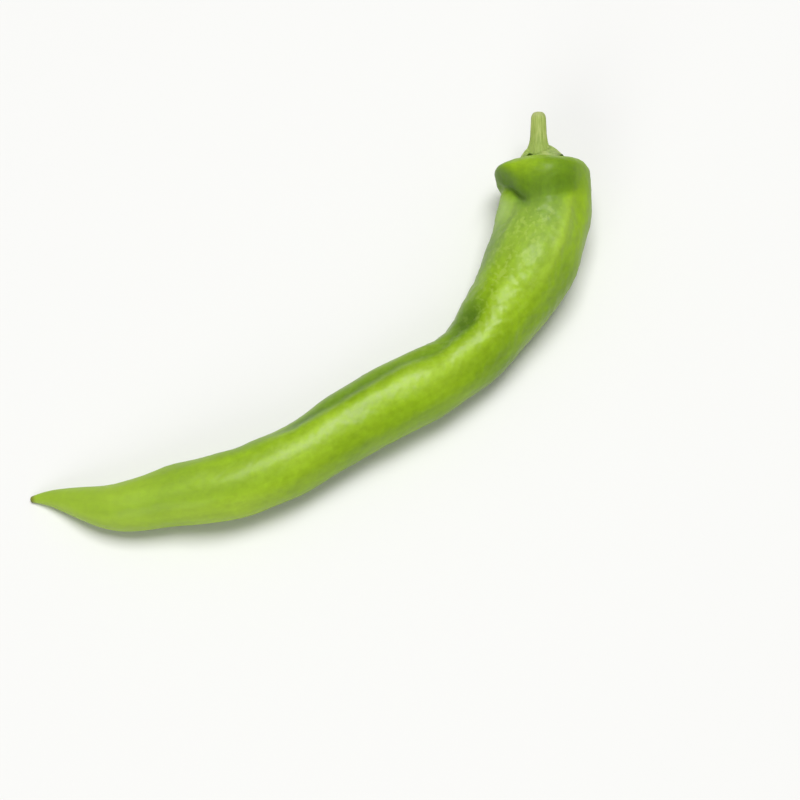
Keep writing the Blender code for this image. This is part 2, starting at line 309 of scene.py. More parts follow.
def light_and_shade_map(s, angle, radius):
    """Painted shade and light on the green: 0 palest, 0.5 usual, 1 deepest."""
    share, degrees, past = places_on_skin(s, angle)
    from_crown = s / MM
    # Painted shade on the roll above the fold, deepest on the inner side; then painted light on
    # the crown's inner corner and painted shade on its top.
    roll_side = rising(degrees, -135, -95) * (1 - 0.75 * rising(degrees, 18, 60))
    roll = np.where(past < -3.5, hill(past, -3.5, 7.0), hill(past, -3.5, 4.0))
    depth = 0.36 * roll_side * roll
    depth -= 0.06 * hill(degrees, -45, 24) * hill(from_crown, 4.0, 4.0)
    depth += 0.12 * hill(degrees, 8, 24) * hill(from_crown, 4.5, 3.5)
    # Painted shade in the crease of the fold, and on the neck just below it.
    depth += 0.26 * hill(degrees, -48, 26) * hill(past, -0.4, 3.4)
    depth += 0.10 * between(degrees, -62, -40, 10, 40) * rising(past, -1, 1) * (
        1 - rising(share, 0.10, 0.17))
    # Painted shade in the dent at the inside of the bend, and a painted highlight down the low
    # ridge of the neck.
    dent_along = hill(share, 0.293, 7.5 * MM / POD_LENGTH)
    dent_across = hill(away_from(angle, -34) * radius, 0.0, 4.5 * MM)
    depth += 0.42 * dent_along * dent_across
    depth -= 0.20 * hill(degrees, 34, 9) * rising(past, 0, 2) * (1 - rising(share, 0.16, 0.22))
    # Painted shade in the furrow, and a painted shadow where it ends.
    across = away_from(angle, through(FURROW, share)) * radius
    depth += 0.24 * through(FURROW, share, 2) * hill(across, 0.0, 0.8 * FURROW_WIDTH)
    depth += 0.20 * hill(degrees, -42, 10) * hill(share, 0.575, 0.035)
    # Painted shade on the inner side and on the middle of the outer side, painted light on the
    # outer side towards the tip, and last painted light along the back.
    inner_side = between(-degrees, 22, 60, 120, 150) * (1 - 0.6 * rising(share, 0.33, 0.40))
    depth += 0.15 * inner_side * between(share, 0.10, 0.15, 0.66, 0.80)
    outer_side = between(degrees, 28, 62, 120, 150)
    depth += 0.07 * outer_side * between(share, 0.20, 0.30, 0.56, 0.66)
    depth -= 0.22 * outer_side * rising(share, 0.60, 0.74)
    depth -= 0.21 * hill(degrees, 6, 20) * between(share, 0.16, 0.27, 0.62, 0.80)
    return 0.5 + depth


# The painted shade and light halfway along, on three sides.
halfway = np.array(POD_LENGTH / 2)
for name, side in (("back", 0.0), ("inner side", -1.5), ("outer side", 1.5)):
    print("green halfway, on the", name, round(float(light_and_shade_map(halfway, side, 11 * MM)), 2))

# %% Maps of the bloom with painted highlights, and of the painted highlight specks
def bloom_and_highlight_map(s, angle):
    """How much grey waxy bloom and painted highlight lie on the skin, from 0 to 1."""
    share, degrees, _ = places_on_skin(s, angle)
    # Painted highlights on the crest of the neck's thin ridge and along the outer edge, and a
    # painted sheen along the inner side; the neck term is the wax bloom itself.
    crest_highlight = hill(degrees, -80, 12) * between(share, 0.058, 0.072, 0.10, 0.15)
    neck = between(share, 0.06, 0.10, 0.12, 0.24) * (1 - rising(degrees, 20, 60))
    inner_side = hill(degrees, -72, 22) * between(share, 0.068, 0.085, 0.72, 0.85)
    rim_highlight = hill(degrees, 84, 9) * between(share, 0.03, 0.06, 0.10, 0.16)
    return np.clip(0.9 * crest_highlight + 0.28 * neck + 0.42 * inner_side + 0.5 * rim_highlight, 0, 1)


def highlight_speck_map(s, angle):
    """How strongly the painted highlight specks show, most of all on the neck's back."""
    share, degrees, past = places_on_skin(s, angle)
    neck = rising(past, 1.0, 6.0) * (1 - rising(share, 0.18, 0.34))
    ridge = between(share, 0.18, 0.34, 0.55, 0.75)
    return hill(degrees, -12, 42) * (0.36 * neck + 0.10 * ridge)


# The bloom with its painted highlights, and the painted highlight specks, on the neck's back.
on_neck = np.array(30 * MM)
print("on the neck's back, bloom", round(float(bloom_and_highlight_map(on_neck, 0.0)), 2), "and freckles",
      round(float(highlight_speck_map(on_neck, 0.0)), 2))

# %% [markdown]
# ## Turning rings into a mesh
# The pod is a stack of rings, like a knitted sleeve: first the flat crown, then the rounded
# shoulder, then the long body, and a small round cap at the tip. Each ring has the same
# number of points, so neighbours join into four-sided faces, which smooth well.

# %% Lofting helper
def loft(name, grid, closed_ends=True):
    """A mesh object through a grid of points: rings x points round x 3."""
    rings, around, _ = grid.shape
    points = grid.reshape(-1, 3)
    k = np.arange(rings - 1)[:, None] * around
    j = np.arange(around)
    following = (j + 1) % around
    quads = np.stack([k + j, k + around + j, k + around + following, k + following], -1)
    faces = quads.reshape(-1, 4).tolist()
    if closed_ends:
        ends = [grid[0].mean(axis=0), grid[-1].mean(axis=0)]
        points = np.vstack([points, ends])
        first, last = rings * around, rings * around + 1
        tail = (rings - 1) * around
        faces += [[first, int(a), int(b)] for a, b in zip(j, following)]
        faces += [[last, tail + int(b), tail + int(a)] for a, b in zip(j, following)]
    data = bpy.data.meshes.new(name)
    data.from_pydata(points.tolist(), [], faces)
    data.update()
    for polygon in data.polygons:
        polygon.use_smooth = True
    thing = bpy.data.objects.new(name, data)
    bpy.context.scene.collection.objects.link(thing)
    return thing


def store(thing, name, values):
    """Keep one number or one vector per point on the mesh, for its material to read."""
    values = np.asarray(values, np.float32)
    kind, field = ("FLOAT", "value") if values.ndim == 1 else ("FLOAT_VECTOR", "vector")
    attribute = thing.data.attributes.new(name, kind, "POINT")
    attribute.data.foreach_set(field, values.ravel())


def all_round(count):
    """Angles of the points of one ring, as a row."""
    return np.linspace(-math.pi, math.pi, count, endpoint=False)[None, :]


print("40 points round are", round(math.degrees(all_round(40)[0, 1] - all_round(40)[0, 0])),
      "degrees apart")

# %% Rings of the pod
AROUND = 180
CROWN_RINGS = 24
SHOULDER_RINGS = 16
NECK_RINGS = 106            # close together, for the fold
BODY_RINGS = 376
CAP_RINGS = 6
NECK_END = 42.0 * MM
TIP_END = 0.9905            # share of the length at which the round cap starts
TIP_ROUND = 0.8             # the cap's height as a share of its radius
angle = all_round(AROUND)
rim = SHOULDER_RADIUS - CROWN_ROUND


def crown_dip(radius):
    """How far the crown's surface lies below its rim at this radius."""
    return CROWN_DIP * (1.0 - np.minimum(radius / rim, 1.0) ** 2) ** 2


crown = rim * np.linspace(0.05, 0.97, CROWN_RINGS)[:, None]
turn = np.radians(np.linspace(0.0, 90.0, SHOULDER_RINGS))[:, None]
neck = np.linspace(CROWN_ROUND, NECK_END, NECK_RINGS)[1:]
rest = np.linspace(NECK_END, POD_LENGTH * TIP_END, BODY_RINGS)[1:]
body = np.concatenate([neck, rest])[:, None]
cap = np.radians(np.linspace(15.0, 80.0, CAP_RINGS))[:, None]
tip_radius = SHOULDER_RADIUS * through(TAPER, TIP_END)

# Each ring's distance along, its plain radius, and how much of the big shapes it takes.
along = np.vstack([crown_dip(crown), CROWN_ROUND * (1 - np.cos(turn)), body,
                   POD_LENGTH * TIP_END + tip_radius * TIP_ROUND * np.sin(cap)])
plain = np.vstack([crown, rim + CROWN_ROUND * np.sin(turn),
                   SHOULDER_RADIUS * through(TAPER, body / POD_LENGTH),
                   tip_radius * np.cos(cap)])
shape = np.vstack([np.zeros_like(crown), np.sin(turn) ** 2, np.ones_like(body), np.cos(cap)])
along, plain, shape, angle = np.broadcast_arrays(along, plain, shape, angle)
radius = plain + shape * (skin_radius(along, angle, plain) - plain)
surface = skin_points(along, radius, angle)
print("pod of", surface.shape[0], "rings with", AROUND, "points each")

# %% [markdown]
# ## Pressing the relief in
# The relief moves each point along the skin's own direction. The crown has its own: five
# shallow creases, with finer ones between, run out from under the calyx. Last, the belly is
# pressed flat where it rests, and the mesh is moved to where the solid model's pod lies.

# %% Relief, belly and place
CREASE_START = 6.5 * MM     # distance from the crown's middle
CREASES = [(5, 0.6, 0.35 * MM), (13, 2.0, 0.12 * MM)]      # number round, phase, height


def grid_normals(grid):
    """Outward direction at each point of a grid of rings."""
    along_grid = np.gradient(grid, axis=0)
    round_grid = (np.roll(grid, -1, axis=1) - np.roll(grid, 1, axis=1)) / 2
    normal = np.cross(round_grid, along_grid)
    normal /= np.maximum(np.linalg.norm(normal, axis=2, keepdims=True), 1e-12)
    middle = grid.mean(axis=1, keepdims=True)
    outward = np.sum(normal * (grid - middle), axis=2).mean()
    return normal * np.sign(outward)


height = skin_relief(along, angle)
out_share = np.clip((plain - CREASE_START) / (rim - CREASE_START), 0.0, 1.0)
on_crown = np.where(along < CROWN_ROUND, np.sin(np.pi * out_share), 0.0)
for number, phase, crease_height in CREASES:
    height = height + crease_height * on_crown * np.cos(number * angle + phase)
plain_low = surface.reshape(-1, 3).min(axis=0)
surface = surface + grid_normals(surface) * height[..., None]
surface[..., 2] = np.maximum(surface[..., 2], 0.0)
node_low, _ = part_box("pod")
shift = np.array([node_low.x - plain_low[0], node_low.y - plain_low[1], 0.0])
print("the mesh moves by", (shift / MM).round(2), "mm to the solid pod's place")

# %% The pod's mesh
def with_ends(values):
    """Values of the rings' points, and of the two points that close the ends."""
    return np.concatenate([values.ravel(), [values[0].mean(), values[-1].mean()]])


pod = loft("pepper_pod", surface + shift)
straight = np.stack([along, plain * np.cos(angle), plain * np.sin(angle)], -1).reshape(-1, 3)
store(pod, "straight", np.vstack([straight, np.zeros((1, 3)), straight[-1:]]))
store(pod, "light_and_shade", with_ends(light_and_shade_map(along, angle, plain)))
store(pod, "bloom_and_highlight", with_ends(bloom_and_highlight_map(along, angle)))
store(pod, "highlight_specks", with_ends(highlight_speck_map(along, angle)))
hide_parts("pod")
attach(pod, "root")
print("pod faces:", len(pod.data.polygons))

# %% [markdown]
# ## The crown's own frame
# The stalk and the calyx stand on the leaning crown, a little off its middle. A second small
# frame points out of the crown, and the stalk bends slightly upwards as it goes.

# %% Points over the crown
STALK_ASIDE = 1.7 * MM
STALK_LENGTH = 17.0 * MM
STALK_CURL = math.radians(4.0)


def over_crown(height, radius, angle):
    """Points at a height over the crown, a distance from the stalk's line, an angle round."""
    height, radius, angle = np.broadcast_arrays(height, radius, angle)
    centre, forward, side, up = (v[0] for v in frames_at(np.zeros(1)))
    lean = math.atan(CROWN_LEAN)
    out = up * math.sin(lean) - forward * math.cos(lean)
    across = up * math.cos(lean) + forward * math.sin(lean)
    bend = (STALK_CURL * np.maximum(height / STALK_LENGTH, 0.0))[..., None]
    height, radius = height[..., None], radius[..., None]
    sine, cosine = np.sin(angle)[..., None], np.cos(angle)[..., None]
    axis = centre + shift + side * STALK_ASIDE
    axis = axis + height * (out * np.cos(bend / 2) + across * np.sin(bend / 2))
    turned = across * np.cos(bend) - out * np.sin(bend)
    return axis - side * radius * sine + turned * radius * cosine


def crown_height(radius, angle):
    """Height of the crown's surface under a point near the stalk."""
    from_middle = np.hypot(radius * np.cos(angle), radius * np.sin(angle) - STALK_ASIDE)
    return -crown_dip(from_middle)


print("the stalk starts at", (over_crown(0.0, 0.0, 0.0) / MM).round(1), "mm")

# %% [markdown]
# ## The calyx
# The calyx is a thin leathery cap. Ribs run from the stalk out to five blunt teeth, which
# lie on the crown, and the edge between two teeth curls up and leaves a gap, darkened with
# painted shade. It is built as one closed skin: a ribbed upper side, a rolled edge and a
# plain lower side.

# %% Outline of the calyx
CALYX_AROUND = 200
GAPS = [-118, -32, 60, 122, 186, 242]     # degrees; the last gap is the first again
turns = all_round(CALYX_AROUND)
degrees = (np.degrees(turns) - GAPS[0]) % 360 + GAPS[0]
which = np.minimum(np.searchsorted(GAPS, degrees, side="right") - 1, len(GAPS) - 2)
starts, ends = np.array(GAPS)[which], np.array(GAPS)[which + 1]
within = (degrees - starts) / (ends - starts)
teeth = -np.cos(math.tau * within)        # 1 on a tooth, -1 in a gap
gap_depth = (0.5 - 0.5 * teeth) ** 3      # 0 on a tooth, 1 in a gap
rib_line = hill(within, 0.5, 0.13)
edge = (7.8 + 1.4 * np.sin(turns) + 0.42 * teeth + 0.35 * rib_line
        + 0.15 * np.cos(7 * turns + 0.7)) * MM
print(len(GAPS) - 1, "teeth, reaching out", round(edge.min() / MM, 1), "to",
      round(edge.max() / MM, 1), "mm")

# %% Calyx mesh
CALYX_RINGS = 34
EDGE_RINGS = 4
CALYX_INNER = 2.6 * MM      # radius of the inner edge, which the stalk hides
CALYX_LIFT = 0.12 * MM      # how far it lies over the crown
CALYX_THICK = 0.65 * MM
CALYX_CURL = 1.8 * MM       # how far the edge curls up between two teeth
EDGE_BULGE = 0.28 * MM

share = np.linspace(0.0, 1.0, CALYX_RINGS)[:, None]        # from the stalk to the edge
reach = CALYX_INNER + (edge - CALYX_INNER) * share
under = crown_height(reach, turns) + CALYX_LIFT + CALYX_CURL * gap_depth * share**2
thick = CALYX_THICK * (1.0 - 0.30 * share)
at_stalk = (3.0 + 2.6 * np.sin(turns) ** 2 + 0.4 * np.sin(turns)) * MM
over = under + thick + (at_stalk - under - thick) * (1.0 - share**1.5)
ribs = (0.16 * teeth + 0.30 * rib_line + 0.06 * np.cos(19 * turns)) * MM
over = over + ribs * np.sin(np.pi * (0.15 + 0.85 * share))
roll = np.linspace(0.2, 0.8, EDGE_RINGS)[:, None]          # round the edge, going down
heights = np.vstack([over, over[-1:] * (1 - roll) + under[-1:] * roll, under[::-1]])
radii = np.vstack([reach, edge + EDGE_BULGE * np.sin(np.pi * roll), reach[::-1]])
calyx = loft("pepper_calyx", over_crown(heights, radii, turns), closed_ends=False)


def on_calyx(upper, rolled, lower):
    """Values of the upper side, the rolled edge and the lower side, point by point."""
    parts = [(upper, CALYX_RINGS), (rolled, EDGE_RINGS), (lower, CALYX_RINGS)]
    return np.vstack([np.broadcast_to(v, (n, CALYX_AROUND)) for v, n in parts]).ravel()


# Painted shade: a dark ring round the stalk's foot, the gaps between the teeth, and the whole
# lower side.
ring_shade = 0.40 * hill(share, 0.31 - 0.13 * np.sin(turns) ** 2, 0.07)
store(calyx, "rib", on_calyx(rib_line, rib_line, 0.0))
store(calyx, "gap_shade", on_calyx(np.minimum(gap_depth * share**3 + ring_shade, 1.0), gap_depth,
                             0.7 + 0.3 * gap_depth))
store(calyx, "reach", on_calyx(share, 1.0, share[::-1]))
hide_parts("calyx")
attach(calyx, "root")
print("calyx faces:", len(calyx.data.polygons))

# %% [markdown]
# ## The stalk
# The stalk is tough and slightly angular, with five soft edges that run on from the calyx
# ribs. It flares at the foot. The knife left a flat end whose rim has dried and rounded.

# %% Stalk mesh
STALK_AROUND = 120
SIDE_RINGS = 110
CORNER_RINGS = 8
FACE_RINGS = 12
CORNER_START = STALK_LENGTH - 2.3 * MM
CORNER_HEIGHT = 2.5 * MM    # rounding of the cut end's rim
FACE_DIP = 0.25 * MM        # how far the cut face has sunk as it dried
# Height over the crown and radius, in millimetres.
FLARE = [(-1.0, 4.4), (3.0, 4.15), (4.9, 3.70), (6.0, 3.30), (7.3, 3.00), (10.2, 2.68),
         (13.9, 2.50), (18.0, 2.40)]
turns = all_round(STALK_AROUND)
side_heights = np.linspace(-0.3 * MM, CORNER_START, SIDE_RINGS)[:, None]
up_stalk = side_heights / MM
# Five soft edges, fine ridges, and slight swellings on the way up.
edges = (0.045 * np.cos(5 * turns + 0.3 + 0.02 * up_stalk)
         + 0.012 * np.cos(17 * turns + 1.0) + 0.008 * np.cos(31 * turns + 0.1 * up_stalk)
         + 0.010 * np.sin(2 * turns + 0.9 * up_stalk))
sides = through(FLARE, up_stalk) * MM * (1.0 + edges)
quarter = np.radians(np.linspace(12.0, 90.0, CORNER_RINGS))[:, None]
corner = sides[-1:] * (1 - 0.62 * (1 - np.cos(quarter)))
corner_heights = side_heights[-1] + CORNER_HEIGHT * np.sin(quarter)
inwards = np.linspace(0.95, 0.05, FACE_RINGS)[:, None]
face_heights = corner_heights[-1] - FACE_DIP * (1 - inwards**4)
heights = np.vstack([side_heights, corner_heights, face_heights])
radii = np.vstack([sides, corner, corner[-1:] * inwards])
stalk = loft("pepper_stalk", over_crown(heights, radii, turns))

cut = np.vstack([0 * side_heights, 0.6 * np.sin(quarter), np.ones_like(inwards)])
cut, heights = np.broadcast_to(cut, radii.shape), np.broadcast_to(heights, radii.shape)
straight = np.stack([radii * np.cos(turns), radii * np.sin(turns), heights], -1)
store(stalk, "cut", np.append(cut, [0, 1]))
store(stalk, "level", np.append(heights / STALK_LENGTH, [0, 1]))
store(stalk, "straight", np.vstack([straight.reshape(-1, 3), [(0, 0, 0), (0, 0, STALK_LENGTH)]]))
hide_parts("stem")
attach(stalk, "root")
print("stalk faces:", len(stalk.data.polygons))

# %% [markdown]
# ## Helpers for the materials
# Colours are written as the hex values that a paint program shows. Blender's shaders add and
# multiply light, so each value is turned to linear light once, here. The second helper adds
# one node, sets it up and plugs in its inputs, so that a material reads as a list of steps.

# %% Colour and node helpers
def linear(hex_colour):
    """Turn '#rrggbb' into linear red, green, blue and an alpha of 1."""
    parts = [int(hex_colour[i:i + 2], 16) / 255 for i in (1, 3, 5)]
    return [c / 12.92 if c <= 0.04045 else ((c + 0.055) / 1.055) ** 2.4 for c in parts] + [1.0]


def add(tree, kind, settings=None, inputs=None, stops=()):
    """Add a node. An input is a value or another node's output; stops fill a colour ramp."""
    node = tree.nodes.new(kind)
    for name, value in (settings or {}).items():
        setattr(node, name, value)
    for name, value in (inputs or {}).items():
        if isinstance(value, bpy.types.NodeSocket):
            tree.links.new(value, node.inputs[name])
        else:
            node.inputs[name].default_value = value
    for k, (position, colour) in enumerate(stops):
        ramp = node.color_ramp.elements
        element = ramp[k] if k < len(ramp) else ramp.new(position)
        element.position = position
        element.color = linear(colour)
    return node


def new_material(name):
    """A material with its Principled shader, ready for nodes."""
    material = bpy.data.materials.new(name)
    material.use_nodes = True
    tree = material.node_tree
    return material, tree, tree.nodes["Principled BSDF"]


# A Mix node has a set of sockets for each kind of data. These are its places for colours.
COLOUR_A, COLOUR_B, MIXED = 6, 7, 2
print("a mid grey, #808080, is", round(linear("#808080")[0], 3), "in linear light")

# %% [markdown]
# ## Pepper skin
# Fresh pepper skin is living tissue under a thin natural wax. Light goes a millimetre or two
# in and comes back yellower, which calls for subsurface scattering. The wax gives a soft,
# broad gloss: a roughness of 0.34 to 0.50 under a weak, smoother coat, and duller on the
# neck and the tail, where the skin is drier. The green is uneven, with patches of about
# 22 mm, mottling of about 2.4 mm and faint streaks along the pod. The finest grain of the
# skin is too small to show, so it is drawn at 0.9 mm.

# %% Green of the skin
PATCH_SIZE = 22 * MM
skin, tree, shader = new_material("waxy_pepper_skin")
place = add(tree, "ShaderNodeAttribute", {"attribute_name": "straight"})
patches = add(tree, "ShaderNodeTexNoise", inputs={
    "Vector": place.outputs["Vector"], "Scale": 1 / PATCH_SIZE, "Detail": 2.0})
# This attribute carries the painted shade and light; the patches are the skin's own uneven
# green.
light_and_shade = add(tree, "ShaderNodeAttribute", {"attribute_name": "light_and_shade"})
patch_shift = add(tree, "ShaderNodeMapRange", inputs={
    "Value": patches.outputs["Fac"], "From Min": 0.3, "From Max": 0.7,
    "To Min": -0.10, "To Max": 0.10})
depth = add(tree, "ShaderNodeMath", {"operation": "ADD"},
            {0: light_and_shade.outputs["Fac"], 1: patch_shift.outputs["Result"]})
green = add(tree, "ShaderNodeValToRGB", inputs={"Fac": depth.outputs["Value"]}, stops=[
    (0.10, "#a9c930"), (0.50, "#88ab0a"), (0.75, "#6c9004"), (1.0, "#527400")])
print("the green runs through", len(green.color_ramp.elements), "shades")

# %% Streaks and mottling of the skin
STREAK_WIDTH = 3.5 * MM
STREAK_STRETCH = 0.12       # the pattern is drawn out along the pod by one over this
MOTTLE_SIZE = 2.4 * MM
stretch = add(tree, "ShaderNodeVectorMath", {"operation": "MULTIPLY"},
              {0: place.outputs["Vector"], 1: (STREAK_STRETCH, 1.0, 1.0)})
streaks = add(tree, "ShaderNodeTexNoise", inputs={
    "Vector": stretch.outputs["Vector"], "Scale": 1 / STREAK_WIDTH, "Detail": 3.0})
streak_tone = add(tree, "ShaderNodeMapRange", inputs={
    "Value": streaks.outputs["Fac"], "From Min": 0.3, "From Max": 0.7,
    "To Min": 0.90, "To Max": 1.10})
mottle = add(tree, "ShaderNodeTexNoise", inputs={
    "Vector": place.outputs["Vector"], "Scale": 1 / MOTTLE_SIZE, "Detail": 3.0,
    "Roughness": 0.6})
mottle_tone = add(tree, "ShaderNodeMapRange", inputs={
    "Value": mottle.outputs["Fac"], "From Min": 0.3, "From Max": 0.7,
    "To Min": 0.90, "To Max": 1.10})
tone = add(tree, "ShaderNodeMath", {"operation": "MULTIPLY"},
           {0: streak_tone.outputs["Result"], 1: mottle_tone.outputs["Result"]})
toned = add(tree, "ShaderNodeVectorMath", {"operation": "SCALE"},
            {0: green.outputs["Color"], "Scale": tone.outputs["Value"]})
print("uneven green:", len(tree.nodes), "nodes")

# %% [markdown]
# ## Tip, bloom and painted highlights
# More layers lie over the green, each laid on with its own amount. The far end is paler, and
# its very tip has dried to a dull olive brown. The bloom is a grey green film, and the same
# layer carries painted highlights and a painted sheen. The painted highlight specks are
# flecks about 2 mm across, only where their map says so.

# %% Paler end and dry tip
PALE_FROM, PALE_TO = 0.62 * POD_LENGTH, 0.90 * POD_LENGTH
DRY_FROM, DRY_TO = 0.983 * POD_LENGTH, 0.9925 * POD_LENGTH
split = add(tree, "ShaderNodeSeparateXYZ", inputs={"Vector": place.outputs["Vector"]})
pale = add(tree, "ShaderNodeMapRange", {"interpolation_type": "SMOOTHSTEP"}, {
    "Value": split.outputs["X"], "From Min": PALE_FROM, "From Max": PALE_TO,
    "To Min": 0.0, "To Max": 0.45})
paler = add(tree, "ShaderNodeMix", {"data_type": "RGBA"}, {
    "Factor": pale.outputs["Result"], COLOUR_A: toned.outputs["Vector"],
    COLOUR_B: linear("#a3c043")})
dry = add(tree, "ShaderNodeMapRange", {"interpolation_type": "SMOOTHSTEP"}, {
    "Value": split.outputs["X"], "From Min": DRY_FROM, "From Max": DRY_TO,
    "To Min": 0.0, "To Max": 0.85})
coloured = add(tree, "ShaderNodeMix", {"data_type": "RGBA"}, {
    "Factor": dry.outputs["Result"], COLOUR_A: paler.outputs[MIXED],
    COLOUR_B: linear("#6f6a2c")})
print("the last", round((POD_LENGTH - DRY_FROM) / MM, 1), "mm of the tip turn brown")

# %% Bloom, painted highlights and painted highlight specks
BLOOM_AND_HIGHLIGHT_STRENGTH = 0.35
SPECK_SIZE = 2.0 * MM
# Wax bloom and painted highlights, laid on as one grey green.
bloom_and_highlight = add(tree, "ShaderNodeAttribute", {"attribute_name": "bloom_and_highlight"})
bloom_and_highlight_amount = add(tree, "ShaderNodeMath", {"operation": "MULTIPLY"},
                   {0: bloom_and_highlight.outputs["Fac"], 1: streak_tone.outputs["Result"]})
bloom_and_highlight_amount = add(tree, "ShaderNodeMath", {"operation": "MULTIPLY"},
                   {0: bloom_and_highlight_amount.outputs["Value"], 1: BLOOM_AND_HIGHLIGHT_STRENGTH})
bloomed_and_highlighted = add(tree, "ShaderNodeMix", {"data_type": "RGBA"}, {
    "Factor": bloom_and_highlight_amount.outputs["Value"], COLOUR_A: coloured.outputs[MIXED],
    COLOUR_B: linear("#b4c69a")})
# Painted highlight specks: pale flecks that stand for the glints of the dimpled skin.
highlight_specks = add(tree, "ShaderNodeTexNoise", inputs={
    "Vector": place.outputs["Vector"], "Scale": 1 / SPECK_SIZE, "Detail": 3.0,
    "Distortion": 0.3})
speck_spots = add(tree, "ShaderNodeMapRange", {"interpolation_type": "SMOOTHSTEP"}, {
    "Value": highlight_specks.outputs["Fac"], "From Min": 0.50, "From Max": 0.64,
    "To Min": 0.0, "To Max": 1.0})
speck_zone = add(tree, "ShaderNodeAttribute", {"attribute_name": "highlight_specks"})
speck_amount = add(tree, "ShaderNodeMath", {"operation": "MULTIPLY"}, {
    0: speck_spots.outputs["Result"], 1: speck_zone.outputs["Fac"]})
specked = add(tree, "ShaderNodeMix", {"data_type": "RGBA"}, {
    "Factor": speck_amount.outputs["Value"], COLOUR_A: bloomed_and_highlighted.outputs[MIXED],
    COLOUR_B: linear("#b3cc5e")})
tree.links.new(specked.outputs[MIXED], shader.inputs["Base Color"])
print("colour of the skin:", len(tree.nodes), "nodes")

# %% Gloss of the skin
NECK_FROM, NECK_TO = 14 * MM, 62 * MM
TAIL_FROM, TAIL_TO = 130 * MM, 175 * MM
gloss = add(tree, "ShaderNodeMapRange", inputs={
    "Value": mottle.outputs["Fac"], "From Min": 0.3, "From Max": 0.7,
    "To Min": 0.34, "To Max": 0.50})
neck_dull = add(tree, "ShaderNodeMapRange", {"interpolation_type": "SMOOTHSTEP"}, {
    "Value": split.outputs["X"], "From Min": NECK_FROM, "From Max": NECK_TO,
    "To Min": 0.19, "To Max": 0.0})
tail_dull = add(tree, "ShaderNodeMapRange", {"interpolation_type": "SMOOTHSTEP"}, {
    "Value": split.outputs["X"], "From Min": TAIL_FROM, "From Max": TAIL_TO,
    "To Min": 0.0, "To Max": 0.12})
ends_dull = add(tree, "ShaderNodeMath", {"operation": "ADD"},
                {0: neck_dull.outputs["Result"], 1: tail_dull.outputs["Result"]})
dullness = add(tree, "ShaderNodeMath", {"operation": "ADD"},
               {0: gloss.outputs["Result"], 1: ends_dull.outputs["Value"]})
tree.links.new(dullness.outputs["Value"], shader.inputs["Roughness"])
shader.inputs["IOR"].default_value = 1.37              # tissue full of water
shader.inputs["Coat Weight"].default_value = 0.12      # the wax
shader.inputs["Coat Roughness"].default_value = 0.22
print("gloss of the skin:", len(tree.nodes), "nodes")

# %% Fine texture and depth of the skin
GRAIN_SIZE = 0.9 * MM
fine_grain = add(tree, "ShaderNodeTexNoise", inputs={
    "Vector": place.outputs["Vector"], "Scale": 1 / GRAIN_SIZE, "Detail": 2.0})
grain = add(tree, "ShaderNodeBump", inputs={
    "Strength": 0.25, "Distance": 0.05 * MM, "Height": fine_grain.outputs["Fac"]})
dents = add(tree, "ShaderNodeBump", inputs={
    "Strength": 0.5, "Distance": 0.12 * MM, "Height": mottle.outputs["Fac"],
    "Normal": grain.outputs["Normal"]})
tree.links.new(dents.outputs["Normal"], shader.inputs["Normal"])
shader.inputs["Subsurface Weight"].default_value = 0.15
shader.inputs["Subsurface Radius"].default_value = (0.8, 1.0, 0.25)
shader.inputs["Subsurface Scale"].default_value = 2.5 * MM
pod.data.materials.append(skin)
print("material:", skin.name, "with", len(tree.nodes), "nodes")

# %% [markdown]
# ## Calyx and stalk
# Both are the same plant tissue, greyer and more matt than the fruit. The calyx is darker
# along its edge, and has painted shade between its teeth, under it and in a ring round the
# stalk's foot. The stalk has fine fibres along it, drawn about 0.6 mm apart so that they show.
# It is greener at its foot, and its cut face is pale, dried pith.

# %% Calyx material
LEAF_CELL = 1.2 * MM
leafy, tree, shader = new_material("leathery_calyx")
rib = add(tree, "ShaderNodeAttribute", {"attribute_name": "rib"})
reach_value = add(tree, "ShaderNodeAttribute", {"attribute_name": "reach"})
where = add(tree, "ShaderNodeTexCoord")
cells = add(tree, "ShaderNodeTexNoise", inputs={
    "Vector": where.outputs["Object"], "Scale": 1 / LEAF_CELL, "Detail": 3.0})
blend = add(tree, "ShaderNodeMath", {"operation": "MULTIPLY_ADD"},
            {0: rib.outputs["Fac"], 1: 0.16, 2: cells.outputs["Fac"]})
leaf_green = add(tree, "ShaderNodeValToRGB", inputs={"Fac": blend.outputs["Value"]}, stops=[
    (0.30, "#7f9a3c"), (0.50, "#97af50"), (0.72, "#aebf68")])
edge_dark = add(tree, "ShaderNodeMapRange", {"interpolation_type": "SMOOTHSTEP"}, {
    "Value": reach_value.outputs["Fac"], "From Min": 0.82, "From Max": 1.0,
    "To Min": 0.0, "To Max": 0.35})
leaf_colour = add(tree, "ShaderNodeMix", {"data_type": "RGBA"}, {
    "Factor": edge_dark.outputs["Result"], COLOUR_A: leaf_green.outputs["Color"],
    COLOUR_B: linear("#6d7a34")})
# Painted shade in the gaps, under the calyx and round the stalk's foot.
gap_shade_value = add(tree, "ShaderNodeAttribute", {"attribute_name": "gap_shade"})
gap_shade_colour = add(tree, "ShaderNodeMix", {"data_type": "RGBA"}, {
    "Factor": gap_shade_value.outputs["Fac"], COLOUR_A: leaf_colour.outputs[MIXED],
    COLOUR_B: linear("#5c7222")})
tree.links.new(gap_shade_colour.outputs[MIXED], shader.inputs["Base Color"])
leaf_bump = add(tree, "ShaderNodeBump", inputs={
    "Strength": 0.6, "Distance": 0.15 * MM, "Height": cells.outputs["Fac"]})
tree.links.new(leaf_bump.outputs["Normal"], shader.inputs["Normal"])
shader.inputs["Roughness"].default_value = 0.5
shader.inputs["IOR"].default_value = 1.45              # leathery, drier tissue
shader.inputs["Subsurface Weight"].default_value = 0.12
shader.inputs["Subsurface Radius"].default_value = (0.8, 1.0, 0.3)
shader.inputs["Subsurface Scale"].default_value = 1.0 * MM
